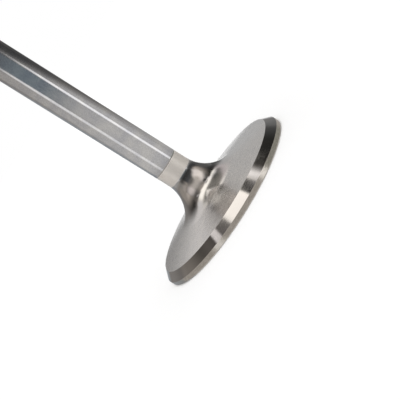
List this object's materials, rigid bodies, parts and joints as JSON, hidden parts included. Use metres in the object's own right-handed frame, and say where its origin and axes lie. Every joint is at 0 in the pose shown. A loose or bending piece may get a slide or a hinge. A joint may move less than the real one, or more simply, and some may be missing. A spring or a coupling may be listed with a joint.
{
  "type": "engine valve",
  "caption": "Poppet valve for an engine: a wide disc head with a 45 degree seat, a swept neck and a long ground stem with a keeper groove near its tip.",
  "frame": {"origin": "centre of the flat combustion face, which the valve stands on", "axes": "+Z along the stem, from the head to the tip; the form is the same all round Z"},
  "size_m": [0.0508, 0.0508, 0.1248],
  "materials": {
    "valve_steel": "bare valve steel: fine-ground seat, turned margin and face, swirl-polished neck, and a ground, hard-chromed stem"
  },
  "bodies": {
    "root": {"valve": "valve_steel"}
  },
  "joints": []
}
